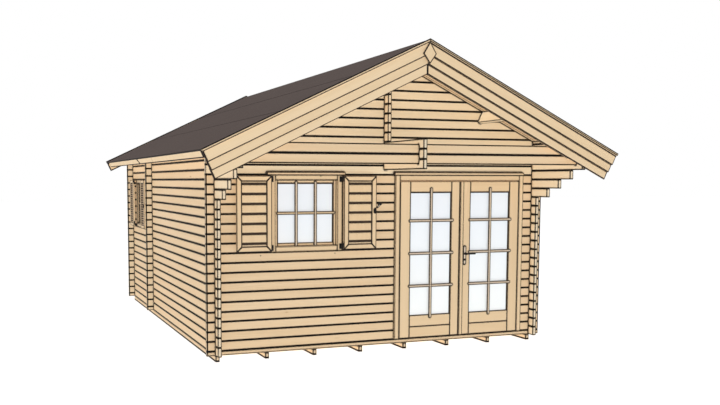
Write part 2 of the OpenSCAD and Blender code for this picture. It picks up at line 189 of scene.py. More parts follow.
def stadium(cx, cy, hx, hy, n=8):
    """Outline of a bar with round ends, centred on cx, cy."""
    r = min(hx, hy)
    out = []
    if hx >= hy:
        for c, a0 in ((cx + hx - r, -90), (cx - hx + r, 90)):
            for i in range(n + 1):
                a = math.radians(a0 + 180 * i / n)
                out.append((c + r * math.cos(a), cy + r * math.sin(a)))
    else:
        for c, a0 in ((cy + hy - r, 0), (cy - hy + r, 180)):
            for i in range(n + 1):
                a = math.radians(a0 + 180 * i / n)
                out.append((cx + r * math.cos(a), c + r * math.sin(a)))
    return out


# ---------------------------------------------------------------- materials
class Nodes:
    def __init__(self, name):
        self.mat = bpy.data.materials.new(name)
        self.mat.use_nodes = True
        self.nt = self.mat.node_tree
        self.bsdf = self.nt.nodes["Principled BSDF"]

    def add(self, kind, **props):
        n = self.nt.nodes.new(kind)
        for k, v in props.items():
            setattr(n, k, v)
        return n

    def put(self, sock, v):
        if isinstance(v, bpy.types.NodeSocket):
            self.nt.links.new(v, sock)
        elif v is not None:
            sock.default_value = v

    def math(self, op, a, b=None, c=None, clamp=False):
        n = self.add("ShaderNodeMath", operation=op, use_clamp=clamp)
        for i, v in enumerate((a, b, c)):
            self.put(n.inputs[i], v)
        return n.outputs[0]

    def vmath(self, op, a, b=None):
        n = self.add("ShaderNodeVectorMath", operation=op)
        self.put(n.inputs[0], a)
        if b is not None:
            self.put(n.inputs[1], b)
        return n.outputs["Value"] if op in ("DOT_PRODUCT", "LENGTH") else n.outputs["Vector"]

    def xyz(self, a, b, c):
        n = self.add("ShaderNodeCombineXYZ")
        for i, v in enumerate((a, b, c)):
            self.put(n.inputs[i], v)
        return n.outputs[0]

    def split(self, v):
        n = self.add("ShaderNodeSeparateXYZ")
        self.put(n.inputs[0], v)
        return n.outputs

    def step(self, v, a, b):
        n = self.add("ShaderNodeMapRange", interpolation_type="SMOOTHSTEP")
        self.put(n.inputs["Value"], v)
        n.inputs["From Min"].default_value = a
        n.inputs["From Max"].default_value = b
        return n.outputs["Result"]

    def noise(self, vec, scale, detail=2.0, rough=0.5, dist=0.0):
        n = self.add("ShaderNodeTexNoise")
        self.put(n.inputs["Vector"], vec)
        n.inputs["Scale"].default_value = scale
        n.inputs["Detail"].default_value = detail
        n.inputs["Roughness"].default_value = rough
        n.inputs["Distortion"].default_value = dist
        return n.outputs[0]

    def white(self, v):
        n = self.add("ShaderNodeTexWhiteNoise", noise_dimensions="3D")
        self.put(n.inputs["Vector"], v)
        return n.outputs["Value"]

    def mix(self, f, a, b):
        n = self.add("ShaderNodeMix", data_type="RGBA")
        self.put(n.inputs[0], f)
        for i, v in ((6, a), (7, b)):
            self.put(n.inputs[i], (*v, 1.0) if isinstance(v, (list, tuple)) and len(v) == 3 else v)
        return n.outputs[2]

    def bump(self, height, strength, dist):
        n = self.add("ShaderNodeBump")
        n.inputs["Strength"].default_value = strength
        n.inputs["Distance"].default_value = dist
        self.put(n.inputs["Height"], height)
        return n.outputs[0]


LINE = lin(20, 10, 5)
GAP = lin(8, 4, 2)
EDGE_R = 0.0185
EDGE_MIX = 0.96


def edges(N, radius=EDGE_R, corner_shade_reach=0.026):
    """Narrow dark mask along every arris, and painted shade in every inner corner, found by ambient occlusion."""
    bev = N.add("ShaderNodeBevel", samples=8)
    bev.inputs["Radius"].default_value = radius
    geo = N.add("ShaderNodeNewGeometry")
    d = N.vmath("DOT_PRODUCT", bev.outputs[0], geo.outputs["True Normal"])
    arris = N.step(d, 0.9998, 0.988)
    if not corner_shade_reach:
        return arris
    # painted shade: inner corners darkened where ambient occlusion finds a crease
    ao = N.add("ShaderNodeAmbientOcclusion", samples=6)
    ao.inputs["Distance"].default_value = corner_shade_reach
    corner = N.step(ao.outputs["AO"], 0.88, 0.68)
    return N.math("MAXIMUM", arris, corner)


def wood(name, light, dark, mode="attr", axis="x", z0=None, pitch=0.110, plane=None, band=None,
         contrast=1.0, rough=0.62, line=0.0116, tint=0.0, edge=EDGE_MIX, knots=True, ends=False,
         radius=EDGE_R, corner_shade_reach=0.026, overhang_painted_light=False, endmul=(0.98, 1.02, 1.08), foot=None, tip=None):
    """Planed pine. mode attr: boards made here. mode obj: CAD logs, whose grain
    runs along x or y, or along the slope in plane, and whose courses are read
    from the height."""
    N = Nodes(name)
    if mode == "attr":
        g = N.add("ShaderNodeAttribute", attribute_name="grain")
        t = N.add("ShaderNodeAttribute", attribute_name="tone")
        vec, tone = g.outputs["Vector"], t.outputs["Fac"]
        endmask = 1.0 if ends else None
        joint = None
    else:
        tc = N.add("ShaderNodeTexCoord")
        P, Nn = tc.outputs["Object"], tc.outputs["Normal"]
        px, py, pz = N.split(P)
        nx, ny, nz = N.split(Nn)
        joint = None
        if plane is not None:
            along = (plane * CS, 0.0, -SN)
            down = (plane * SN, 0.0, CS)
            u = N.vmath("DOT_PRODUCT", P, along)
            v = N.vmath("DOT_PRODUCT", P, down)
            w = py
            en = N.math("ABSOLUTE", N.vmath("DOT_PRODUCT", Nn, along))
            if band:
                row = N.math("FLOOR", N.math("DIVIDE", N.math("SUBTRACT", v, band[0]), band[1]))
            else:
                row = N.math("FLOOR", N.math("MULTIPLY", py, 9.0))
        else:
            u, w = (px, py) if axis == "x" else (py, px)
            v = pz
            en = N.math("ABSOLUTE", nx if axis == "x" else ny)
            if z0 is not None:
                q = N.math("DIVIDE", N.math("SUBTRACT", pz, z0), pitch)
                row = N.math("FLOOR", q)
                fr = N.math("ABSOLUTE", N.math("SUBTRACT", N.math("FRACT", N.math("ADD", q, 0.5)), 0.5))
                dist = N.math("MULTIPLY", fr, pitch)
                upright = N.step(N.math("ABSOLUTE", nz), 0.90, 0.75)
                joint = N.math("MULTIPLY", N.step(dist, line + 0.0012, line - 0.0018), upright)
            else:
                row = N.math("FLOOR", N.math("MULTIPLY", w, 3.3))
        r1 = N.white(N.xyz(row, tint * 7.3 + 1.7, 0.5))
        r2 = N.white(N.xyz(row, tint * 3.1 + 4.1, 2.5))
        tone = N.math("MULTIPLY_ADD", r1, 2.0, -1.0)
        vec = N.xyz(N.math("MULTIPLY_ADD", r1, 31.0, u), N.math("MULTIPLY_ADD", r2, 17.0, v),
                    N.math("MULTIPLY_ADD", r1, 9.0, w))
        endmask = N.step(en, 0.85, 0.95)
    gu, gv, gw = N.split(vec)
    # growth rings: distance from a wandering pith below the board
    wander = N.noise(N.xyz(N.math("MULTIPLY", gu, 0.55), N.math("MULTIPLY", gv, 4.0), N.math("MULTIPLY", gw, 4.0)), 1.0, 2.0)
    ring = N.math("MULTIPLY_ADD", wander, 0.16, N.math("MULTIPLY_ADD", gv, 0.80, N.math("MULTIPLY", gw, 1.1)))
    late = N.math("MULTIPLY_ADD", N.math("SINE", N.math("MULTIPLY", ring, 620.0)), 0.5, 0.5)
    late = N.math("POWER", late, 2.2)
    broad = N.noise(N.xyz(N.math("MULTIPLY", gu, 0.7), N.math("MULTIPLY", gv, 16.0), N.math("MULTIPLY", gw, 16.0)), 1.0, 2.0)
    fibre = N.noise(N.xyz(N.math("MULTIPLY", gu, 7.0), N.math("MULTIPLY", gv, 420.0), N.math("MULTIPLY", gw, 420.0)), 1.0, 3.0, 0.6)
    amount = N.math("MULTIPLY_ADD", late, 0.34 * contrast, N.math("MULTIPLY", N.step(broad, 0.35, 0.72), 0.34 * contrast))
    amount = N.math("MULTIPLY_ADD", N.step(fibre, 0.35, 0.75), 0.22 * contrast, amount)
    amount = N.math("MULTIPLY_ADD", tone, 0.16, amount, clamp=True)
    col = N.mix(amount, light, dark)
    if knots:
        vo = N.add("ShaderNodeTexVoronoi")
        N.put(vo.inputs["Vector"], N.xyz(N.math("MULTIPLY", gu, 2.1), N.math("MULTIPLY", gv, 8.5), N.math("MULTIPLY", gw, 0.6)))
        vo.inputs["Scale"].default_value = 1.0
        pick = N.step(N.split(vo.outputs["Color"])[0], 0.70, 0.72)
        kd = vo.outputs["Distance"]
        halo = N.math("MULTIPLY", N.step(kd, 0.15, 0.05), pick)
        core = N.math("MULTIPLY", N.step(kd, 0.062, 0.045), pick)
        col = N.mix(N.math("MULTIPLY", halo, 0.35), col, [c * 0.82 for c in dark])
        col = N.mix(N.math("MULTIPLY", core, 0.62), col, lin(156, 112, 68))
    if endmask is not None:
        er = N.math("SQRT", N.math("ADD", N.math("POWER", N.math("SUBTRACT", N.math("FRACT", N.math("MULTIPLY", gv, 9.09)), 0.42), 2.0),
                                   N.math("POWER", N.math("MULTIPLY", N.math("SUBTRACT", gw, 0.01), 9.09), 2.0)))
        ringe = N.math("MULTIPLY_ADD", N.math("SINE", N.math("MULTIPLY", er, 150.0)), 0.5, 0.5)
        ecol = N.mix(N.math("MULTIPLY", ringe, 0.45), [c * k for c, k in zip(light, endmul)],
                     [c * k for c, k in zip(dark, endmul)])
        col = N.mix(endmask, col, ecol)
    if overhang_painted_light:
        # painted light: the log ends under the overhang are painted paler and less yellow, to offset the warm light
        # there
        pale = N.vmath("MULTIPLY", col, (1.05, 1.13, 1.22))
        col = N.mix(N.step(py, -YM / 1000.0 - 0.02, -YM / 1000.0 - 0.05), col, pale)
    # dark lines along the arrises, and painted shade in the inner corners
    e = edges(N, radius, corner_shade_reach)
    col = N.mix(N.math("MULTIPLY", e, edge), col, LINE)
    if tip is not None:
        near = N.step(N.math("ABSOLUTE", px), tip[0] - tip[1] - 0.0015, tip[0] - tip[1] + 0.0010)
        col = N.mix(N.math("MULTIPLY", near, N.step(N.math("ABSOLUTE", ny), 0.4, 0.6)), col, LINE)
    if foot is not None:
        col = N.mix(N.step(pz, foot + 0.0225, foot + 0.0200), col, LINE)
    if joint is not None:
        col = N.mix(joint, col, GAP)
    N.put(N.bsdf.inputs["Base Color"], col)
    N.put(N.bsdf.inputs["Roughness"], N.math("MULTIPLY_ADD", late, -0.10, rough + 0.06))
    N.bsdf.inputs["Specular IOR Level"].default_value = 0.12
    hgt = N.math("MULTIPLY_ADD", fibre, 0.5, N.math("MULTIPLY", late, 0.5))
    N.put(N.bsdf.inputs["Normal"], N.bump(hgt, 0.10, 0.0006))
    return N.mat


LIGHT_P, DARK_P = lin(233, 208, 173), lin(219, 190, 151)
LIGHT_J, DARK_J = lin(225, 201, 165), lin(211, 183, 145)
# gable logs and purlins under the overhang: a paler, less yellow pine, painted light that offsets the warm light under
# the roof
LIGHT_G, DARK_G = lin(231, 216, 188), lin(217, 198, 165)
LIGHT_F, DARK_F = lin(228, 204, 170), lin(214, 186, 148)
LIGHT_C, DARK_C = lin(227, 210, 181), lin(213, 192, 159)

cross_logs = wood("pine_cross_logs", LIGHT_C, DARK_C, "obj", "x", 0.125, radius=EDGE_R,
                  endmul=(0.80, 0.82, 0.85), tip=(2.191, 0.016))
sill_log = wood("pine_sill_log", LIGHT_F, DARK_F, "obj", "x", 0.125, radius=0.030, endmul=(0.95, 1.08, 1.28))
front_logs = wood("pine_front_logs", LIGHT_F, DARK_F, "obj", "x", 0.125, line=0.0108, radius=0.020,
                  endmul=(0.80, 0.82, 0.85), tip=(2.191, 0.014))
side_logs = wood("pine_side_logs", LIGHT_P, DARK_P, "obj", "y", 0.070, tint=1.0, overhang_painted_light=True, radius=0.026)
gable_logs = wood("pine_gable_logs", LIGHT_G, DARK_G, "obj", "x", 0.125, tint=6.0)
beam_logs = wood("pine_beam_logs", LIGHT_P, DARK_P, "obj", "x", 0.125, tint=2.0, line=0.0122, radius=0.024)
purlin_wood = wood("pine_purlins", LIGHT_G, DARK_G, "obj", "y", None, tint=7.0)
along_y = wood("pine_along_y", LIGHT_P, DARK_P, "obj", "y", None, tint=3.0, radius=0.032, foot=0.0)
board = wood("pine_board", LIGHT_P, DARK_P)
board_end = wood("pine_board_end", LIGHT_P, DARK_P, knots=False, ends=True)
LIGHT_V, DARK_V = lin(235, 211, 175), lin(221, 193, 153)
verge = wood("pine_verge_board", LIGHT_V, DARK_V, corner_shade_reach=0.012)
verge_end = wood("pine_verge_end", LIGHT_V, DARK_V, knots=False, ends=True, corner_shade_reach=0.012)
verge_thin = wood("pine_verge_thin", LIGHT_V, DARK_V, radius=0.013, corner_shade_reach=0.0)
verge_strip = wood("pine_verge_strip", LIGHT_V, DARK_V, radius=0.006, corner_shade_reach=0.0)
joinery = wood("joinery_pine_wood", LIGHT_J, DARK_J, contrast=0.7, rough=0.5, knots=False, corner_shade_reach=0.014)
joinery_end = wood("joinery_pine_end", LIGHT_J, DARK_J, contrast=0.7, rough=0.55, knots=False, ends=True, corner_shade_reach=0.014)
thin_joinery = wood("joinery_pine_thin", LIGHT_J, DARK_J, contrast=0.7, rough=0.5, knots=False, radius=0.008, corner_shade_reach=0.0)
thin_end = wood("joinery_pine_thin_end", LIGHT_J, DARK_J, contrast=0.7, rough=0.55, knots=False, ends=True, radius=0.008, corner_shade_reach=0.0)
deep_joinery = wood("joinery_pine_deep", lin(212, 188, 154), lin(196, 169, 132), contrast=0.7, rough=0.5, knots=False, radius=0.032, corner_shade_reach=0.026)
# glazing bars: pine painted greyer and darker than the other joinery, painted shade on the bars
bar_wood = wood("glazing_bar_pine", lin(214, 198, 176), lin(190, 172, 150), contrast=0.8, rough=0.5, knots=False,
                edge=0.9, radius=0.010, corner_shade_reach=0.0)
infill_wood = wood("shutter_infill_pine", lin(226, 202, 166), lin(212, 184, 146), contrast=0.8, knots=False, edge=0.9, radius=0.012, corner_shade_reach=0.010)
floor_wood = wood("floor_pine", LIGHT_P, DARK_P, rough=0.5)


# louvre slats: pine painted darker than the frames, painted shade among the louvres
slat_wood = wood("shutter_slat_pine", lin(192, 166, 134), lin(168, 142, 110), contrast=0.8, knots=False, edge=0.5,
                 radius=0.006, corner_shade_reach=0.0)


def shade(name, a=lin(34, 24, 16), b=lin(58, 43, 30)):
    N = Nodes(name)
    tc = N.add("ShaderNodeTexCoord")
    n = N.noise(tc.outputs["Object"], 60.0, 3.0)
    N.put(N.bsdf.inputs["Base Color"], N.mix(n, a, b))
    N.bsdf.inputs["Roughness"].default_value = 0.9
    return N.mat


# painted shade: a near-black wood for gaps, slots and strips where shade falls
painted_gap_shade = shade("painted_gap_shade_wood")
arris_wood = shade("dark_arris_wood", lin(22, 12, 7), lin(36, 23, 14))


def felt_material():
    N = Nodes("roof_felt_grit")
    tc = N.add("ShaderNodeTexCoord")
    P = tc.outputs["Object"]
    grit = N.noise(P, 900.0, 2.0, 0.7)
    patch = N.noise(P, 2.2, 3.0, 0.55)
    speck = N.step(N.noise(P, 1500.0, 1.0), 0.62, 0.70)
    col = N.mix(N.step(grit, 0.30, 0.70), lin(72, 62, 59), lin(86, 75, 71))
    col = N.mix(N.math("MULTIPLY", N.step(patch, 0.35, 0.70), 0.30), col, lin(73, 63, 60))
    col = N.mix(N.math("MULTIPLY", speck, 0.35), col, lin(112, 101, 95))
    N.put(N.bsdf.inputs["Base Color"], N.mix(N.math("MULTIPLY", edges(N, 0.005, 0.0), 0.35), col, lin(30, 24, 22)))
    N.bsdf.inputs["Roughness"].default_value = 0.93
    N.bsdf.inputs["Specular IOR Level"].default_value = 0.12
    N.put(N.bsdf.inputs["Normal"], N.bump(grit, 0.35, 0.0012))
    return N.mat


def glass_material():
    N = Nodes("window_glass")
    tc = N.add("ShaderNodeTexCoord")
    z = N.split(tc.outputs["Object"])[2]
    # painted reflection: the pane is whiter low down and bluer higher up, like a reflected sky, with a soft painted
    # sheen
    painted_sky_reflection = N.mix(N.step(z, 0.35, 2.0), lin(247, 252, 254), lin(234, 243, 253))
    painted_sheen = N.noise(tc.outputs["Object"], 1.3, 2.0)
    N.put(N.bsdf.inputs["Base Color"], N.mix(N.math("MULTIPLY", painted_sheen, 0.25), painted_sky_reflection, lin(245, 250, 254)))
    N.bsdf.inputs["Roughness"].default_value = 0.08
    N.bsdf.inputs["IOR"].default_value = 1.5
    N.bsdf.inputs["Alpha"].default_value = 0.96
    return N.mat


def metal(name, a, b, rough, metallic, scale=120.0):
    N = Nodes(name)
    tc = N.add("ShaderNodeTexCoord")
    n = N.noise(tc.outputs["Object"], scale, 3.0, 0.6)
    fine = N.noise(tc.outputs["Object"], scale * 7, 2.0, 0.6)
    N.put(N.bsdf.inputs["Base Color"], N.mix(n, a, b))
    N.bsdf.inputs["Metallic"].default_value = metallic
    N.bsdf.inputs["Specular IOR Level"].default_value = 0.25
    N.put(N.bsdf.inputs["Roughness"], N.math("MULTIPLY_ADD", n, 0.18, rough))
    N.put(N.bsdf.inputs["Normal"], N.bump(fine, 0.15, 0.0003))
    return N.mat


def steel_material():
    N = Nodes("brushed_steel")
    tc = N.add("ShaderNodeTexCoord")
    x, y, z = N.split(tc.outputs["Object"])
    n = N.noise(N.xyz(N.math("MULTIPLY", x, 900.0), N.math("MULTIPLY", y, 900.0), N.math("MULTIPLY", z, 25.0)), 1.0, 2.0)
    col = N.mix(n, lin(216, 198, 174), lin(238, 222, 200))
    N.put(N.bsdf.inputs["Base Color"], N.mix(N.math("MULTIPLY", edges(N, 0.004, 0.0), 0.5), col, lin(44, 30, 22)))
    N.bsdf.inputs["Metallic"].default_value = 0.15
    N.put(N.bsdf.inputs["Roughness"], N.math("MULTIPLY_ADD", n, 0.15, 0.30))
    N.put(N.bsdf.inputs["Normal"], N.bump(n, 0.08, 0.0003))
    return N.mat


felt_mat = felt_material()
felt_edge = metal("roof_felt_edge", lin(16, 12, 11), lin(34, 28, 26), 0.75, 0.0, 300.0)
glass_mat = glass_material()
iron_mat = metal("black_iron_paint", lin(11, 10, 10), lin(24, 22, 21), 0.55, 0.0)
strap_mat = metal("strap_iron", lin(150, 142, 132), lin(178, 170, 160), 0.45, 0.0)
steel_mat = steel_material()


def paint(node, mat):
    o = NODES[node]
    o.data.materials.clear()
    o.data.materials.append(mat)


paint("front_gable", gable_logs)
for n in ("front_wall_left", "front_wall_right"):
    paint(n, front_logs)
paint("front_sill_log", sill_log)
for n in ("back_wall",
          "partition_left", "partition_right", "partition_gable"):
    paint(n, cross_logs)
paint("front_beam", beam_logs)
for n in ("left_wall", "right_wall", "ridge_logs"):
    paint(n, side_logs)
paint("foundation_joists", along_y)
paint("purlins", purlin_wood)

# ---------------------------------------------------------------- roof
def slope_frame(m):
    """Origin on the ridge line, unit vector down the slope, unit vector into the roof."""
    return Vector((m * CS, 0, -SN)), Vector((-m * SN, 0, -CS))


SLOPE, FELT, DECK_V = 2760.0, 5.0, 24.0
ROOF_Y0, ROOF_Y1, TRIM_Y0, TRIM_Y1 = -1014.0, 5707.0, -1053.0, 5741.0
FLAT = RIDGE - 16.0


def slope_board(K, m, u0, u1, v0, v1, y0, y1, **kw):
    U, V = slope_frame(m)
    o = H(0, y0, RIDGE)
    pts = [(u0, v0), (u1, v0), (u1, v1), (u0, v1)]
    if m > 0:
        K.slab(o, U, V, pts, 0, -(y1 - y0), **kw) if U.cross(V).y < 0 else K.slab(o, U, V, pts, 0, y1 - y0, **kw)
    else:
        K.slab(o, U, V, pts, 0, -(y1 - y0), **kw) if U.cross(V).y < 0 else K.slab(o, U, V, pts, 0, y1 - y0, **kw)


def mitred(K, m, v0, v1, y0, y1, u1=SLOPE, **kw):
    """Board down the slope cut plumb at the ridge."""
    pts = [(m * 0.6, RIDGE - v0 / CS), (m * (u1 * CS - v0 * SN), RIDGE - u1 * SN - v0 * CS),
           (m * (u1 * CS - v1 * SN), RIDGE - u1 * SN - v1 * CS), (m * 0.6, RIDGE - v1 / CS)]
    K.slab(H(0, y0, 0), X, Z, pts, 0, -(y1 - y0), grain=Vector((m * CS, 0, -SN)), **kw)


for m, side in ((-1, "left"), (1, "right")):
    K = Kit(11 + m)
    n = 70
    w = (ROOF_Y1 - ROOF_Y0) / n
    for i in range(n):
        y = ROOF_Y0 + i * w
        slope_board(K, m, 52, SLOPE - 19, FELT, DECK_V, y + 0.5, y + w - 0.5, bevel=2.5)
    K.make("roof_boards_" + side, [board, board_end], "cabin", ["roof_deck_" + side])

K = Kit(21)
xf = 16.0 * CS / SN
for m in (-1, 1):
    # three courses of felt, each lapping the one below, turned down at the eave
    U, V = slope_frame(m)
    cuts = [SLOPE, 1860, 960, 38]
    for k in range(3):
        u1, u0 = cuts[k], cuts[k + 1] - (70 if k < 2 else 0)
        o = H(0, ROOF_Y0, RIDGE)
        top0, top1 = (2.6, -0.4 if k else 0.0)
        if k == 2:
            top0 = 0.0
        pts = [(u0, top0), (u1, top1), (u1, 2.4 if k else FELT), (u0, FELT - 0.2)]
        if U.cross(V).y > 0:
            K.slab(o, U, V, pts, 0, ROOF_Y1 - ROOF_Y0, bevel=0.5)
        else:
            K.slab(o, U, V, pts, 0, -(ROOF_Y1 - ROOF_Y0), bevel=0.5)
for m in (-1, 1):
    slope_board(K, m, SLOPE, SLOPE + 2.2, 0.0, 17.0, ROOF_Y0, ROOF_Y1, bevel=0.5, mat=1, end=1)
half = [(xf, FLAT), (150 * CS, RIDGE - 150 * SN + 0.6), (150 * CS, RIDGE - 150 * SN - 2.0), (xf + 6, FLAT - 4.5)]
ring = [(x, z) for x, z in half] + [(-x, z) for x, z in reversed(half)]
K.slab(H(0, ROOF_Y0, 0), X, Z, ring, 0, -(ROOF_Y1 - ROOF_Y0), bevel=0.5)
for m in (-1, 1):
    mitred(K, m, -3.5, FELT + (5 if m < 0 else 1.5), TRIM_Y0 - 1.8, TRIM_Y0, bevel=0.4, mat=1, end=1)
    mitred(K, m, -3.5, FELT - 0.2, TRIM_Y0, TRIM_Y0 + 5, bevel=1.0, mat=1, end=1)
    # turned up against the rear trim, over it and down its back
    mitred(K, m, -9.5, 0.2, ROOF_Y1 - 1.8, ROOF_Y1, bevel=0.3, mat=1, end=1)
    mitred(K, m, -9.5, -8.1, ROOF_Y1, TRIM_Y1 + 1.8, bevel=0.3, mat=1, end=1)
    mitred(K, m, -8.1, 2, TRIM_Y1, TRIM_Y1 + 1.8, bevel=0.3, mat=1, end=1)
    # felt roll on the rear verge
    mitred(K, m, -16, -9.6, ROOF_Y1 + 4, TRIM_Y1 - 4, bevel=2.0, mat=1, end=1)
# ridge roll
K.slab(H(0, ROOF_Y0, 0), X, Z, [(-26, FLAT - 2), (26, FLAT - 2), (22, FLAT + 4), (12, FLAT + 8), (-12, FLAT + 8), (-22, FLAT + 4)],
       0, -(ROOF_Y1 - ROOF_Y0), bevel=1.0, mat=1, end=1)
K.make("roof_felt_courses", [felt_mat, felt_edge], "cabin", ["roof_felt"])

for m, side in ((-1, "left"), (1, "right")):
    K = Kit(31 + m)
    for y0, y1 in ((-976, 2670), (2670, 5457)):
        slope_board(K, m, SLOPE - 19, SLOPE, FELT, FELT + 90, y0 + 1.5, y1 - 1.5, bevel=2.0, grain=Y, rim=13)
    # shadow at the scarf joint, cut across the board at a slant
    U, V = slope_frame(m)
    K.slab(H(m * SLOPE * CS, 0, RIDGE - SLOPE * SN), Y, V,
           [(2727, FELT + 4), (2789, FELT + 4), (2625, FELT + 86), (2563, FELT + 86)],
           -0.5 if Y.cross(V).dot(U) > 0 else 0.5, 0.5 if Y.cross(V).dot(U) > 0 else -0.5, bevel=0.1, mat=2, end=2)
    K.make("fascia_boards_" + side, [verge, verge_end, arris_wood], "cabin", ["eave_fascia_" + side])

K = Kit(41)
for m in (-1, 1):
    mitred(K, m, FELT, DECK_V - 0.4, TRIM_Y0, ROOF_Y0, bevel=2.0)
    mitred(K, m, -8, DECK_V - 0.4, ROOF_Y1, TRIM_Y1, bevel=2.0, rim=5)
# shadow where the right-hand strip meets the bargeboard
mitred(K, 1, DECK_V - 9, DECK_V - 0.6, TRIM_Y0 - 1.2, TRIM_Y0, bevel=0.2, mat=2, end=2)
K.make("verge_strips", [verge_strip, verge_end, arris_wood], "cabin", ["verge_trims"])
K = Kit(42)
for m in (-1, 1):
    mitred(K, m, DECK_V, DECK_V + 141, ROOF_Y1, ROOF_Y1 + 19, bevel=2.0, rim=18)
K.make("rear_verge_boards", [verge, verge_end, arris_wood], "cabin", ["rear_bargeboards"])

for m, side in ((-1, "left"), (1, "right")):
    K = Kit(45 + m)
    for k in range(3):
        v = DECK_V + k * 93
        y = -976 - (3 - k) * 19
        mitred(K, m, v, v + 118, y + 0.6, y + 19, bevel=2.2, rim=(11 if k == 2 else 7.5) if m > 0 else 6,
               end=1 if m > 0 else 2)
        if m < 0:
            # dark end of each board
            slope_board(K, m, SLOPE - 16, SLOPE - 1, v + 1, v + 117, y + 0.1, y + 1.0, bevel=0.1, mat=2, end=2)
    if m > 0:
        mitred(K, m, DECK_V + 0.5, DECK_V + 15, -1033.2, -1032, bevel=0.2, mat=2, end=2)
    v = DECK_V + 186
    mitred(K, m, v, v + 118, -976, -956, u1=2200, bevel=2.0, rim=7)
    K.make("bargeboards_made_" + side, [verge if m > 0 else verge_thin, verge_end, arris_wood], "cabin", ["bargeboards_" + side])

K = Kit(51)
under = RIDGE - DECK_V / CS
dz = RIDGE - (DECK_V + 116) / CS
K.slab(H(0, TRIM_Y0, 0), X, Z, [(0, under - 1), (79, dz), (0, dz - 110), (-79, dz)], 0, -19.5, bevel=2.5, grain=Z, rim=9, rimmat=2)
K.make("apex_diamond", [verge, verge_end, arris_wood], "cabin", ["gable_diamond"])

# ---------------------------------------------------------------- floor
K = Kit(61)
for y0, y1 in ((LOG_T, 3697.0), (3742.0, 5412.0)):
    n = round((y1 - y0) / 95)
    w = (y1 - y0) / n
    for i in range(n):
        K.box(-2046, 2046, y0 + i * w + 0.6, y0 + (i + 1) * w - 0.6, 70, 98, bevel=1.5)
K.make("floor_boards", [floor_wood, board_end], "cabin", ["floor"])


# ---------------------------------------------------------------- windows
def bars(K, xs, z0, z1, zs, x0, x1, y0, y1, w=26.0, cross=2):
    """Applied glazing bars with round ends: uprights over crosspieces."""
    t = y1 - y0
    out = t > 7
    yb = y1 if out else y0 + 1.2
    for x in xs:
        K.slab(H(0, y0, 0), Z, X, stadium((z0 + z1) / 2, x, (z1 - z0) / 2, w / 2), 0, t, bevel=2.5, seg=2, mat=2, end=2)
        # dark strip behind each bar on the glass: a gasket whose dark colour also paints the shade line round the bar
        K.slab(H(0, yb - 1.2, 0), Z, X, stadium((z0 + z1) / 2, x, (z1 - z0) / 2 + 8, w / 2 + 9), 0, 1.1, bevel=0.2, mat=4, end=4)
    for z in zs:
        K.slab(H(0, y0 + 1.5, 0), X, Z, stadium((x0 + x1) / 2, z, (x1 - x0) / 2, w / 2 - 1), 0, -(t - 1.5), bevel=2.5, seg=2, mat=cross, end=cross)
        # the same dark strip behind each crosspiece, painting its shade line
        K.slab(H(0, yb - 1.3, 0), X, Z, stadium((x0 + x1) / 2, z, (x1 - x0) / 2 + 7, w / 2 + 6.5), 0, -1.1, bevel=0.2, mat=4, end=4)


def gasket(K, x0, x1, z0, z1, y0, y1, w, mat=4):
    """Dark seal round a pane, whose dark colour also paints the shade along the pane's edge."""
    for a, b in ((x0, x0 + w), (x1 - w, x1)):
        K.box(a, b, y0, y1, z0, z1, grain="z", bevel=0.6, mat=mat, end=mat)
    for a, b in ((z0, z0 + 4), (z1 - w, z1)):
        K.box(x0 + w, x1 - w, y0, y1, a, b, bevel=0.6, mat=mat, end=mat)


def window(K, w, z0, z1, vx, hz):
    h = w / 2
    for a, b in ((-h, -h + 60), (h - 60, h)):
        K.box(a, b, -20, 65, z0, z1, grain="z", bevel=2.5)
    for a, b in ((z0, z0 + 60), (z1 - 60, z1)):
        K.box(-h + 60.8, h - 60.8, -18.5, 64, a, b, bevel=2.5)
    # dark strip between casing and wall: painted shade in the gap
    for a, b in ((-h - 24, -h - 0.3), (h + 0.3, h + 24)):
        K.box(a, b, -3.5, -0.1, z0, z1, grain="z", bevel=0.5, mat=4, end=4)
    i = h - 60
    for a, b in ((-i, -i + 36), (i - 36, i)):
        K.box(a + 0.8, b, 20, 60, z0 + 60.8, z1 - 60.8, grain="z", bevel=2.5)
    for a, b in ((z0 + 60, z0 + 96), (z1 - 96, z1 - 60)):
        K.box(-i + 36.8, i - 36.8, 21, 59, a + 0.8, b, bevel=2.5)
    g = i - 36
    # inside beads
    for a, b in ((-g, -g + 10), (g - 10, g)):
        K.box(a, b, 42.2, 52, z0 + 96, z1 - 96, grain="z", bevel=3)
    for a, b in ((z0 + 96, z0 + 106), (z1 - 106, z1 - 96)):
        K.box(-g + 10, g - 10, 42.2, 52, a, b, bevel=3)
    gasket(K, -g, g, z0 + 96, z1 - 96, 34, 37.8, 12)
    bars(K, vx, z0 + 62, z1 - 76, hz, -g - 10, g + 16, 9, 20, 24.0, 5)
    bars(K, vx, z0 + 62, z1 - 76, hz, -g - 10, g + 10, 60, 66, 22.0, 5)


K = Kit(71)
window(K, 880, 1225, 2105, (-118, 118), (1665,))
# a small screw head in the casing head
K.rod(H(172, -18.5, 2088), -Y, 4.5, 1.6, bevel=0.6, n=12, mat=3)
K.make("front_window_joinery", [joinery, joinery_end, bar_wood, iron_mat, painted_gap_shade, infill_wood], "cabin", ["front_window_frame"],
       turn=Matrix.Translation((-1.004, 0, 0)))
K = Kit(72)
window(K, 680, 1280, 2050, (0,), (1665,))
turn = (Matrix.Translation(H(-HW, 4655, 0)) @ Matrix.Rotation(math.radians(-90), 4, "Z")
        @ Matrix.Translation((0, YM / 1000.0, 0)))
K.make("side_window_joinery", [deep_joinery, deep_joinery, bar_wood, iron_mat, painted_gap_shade, infill_wood], "cabin", ["side_window_frame"], turn=turn)
paint("front_window_glass", glass_mat)
paint("side_window_glass", glass_mat)

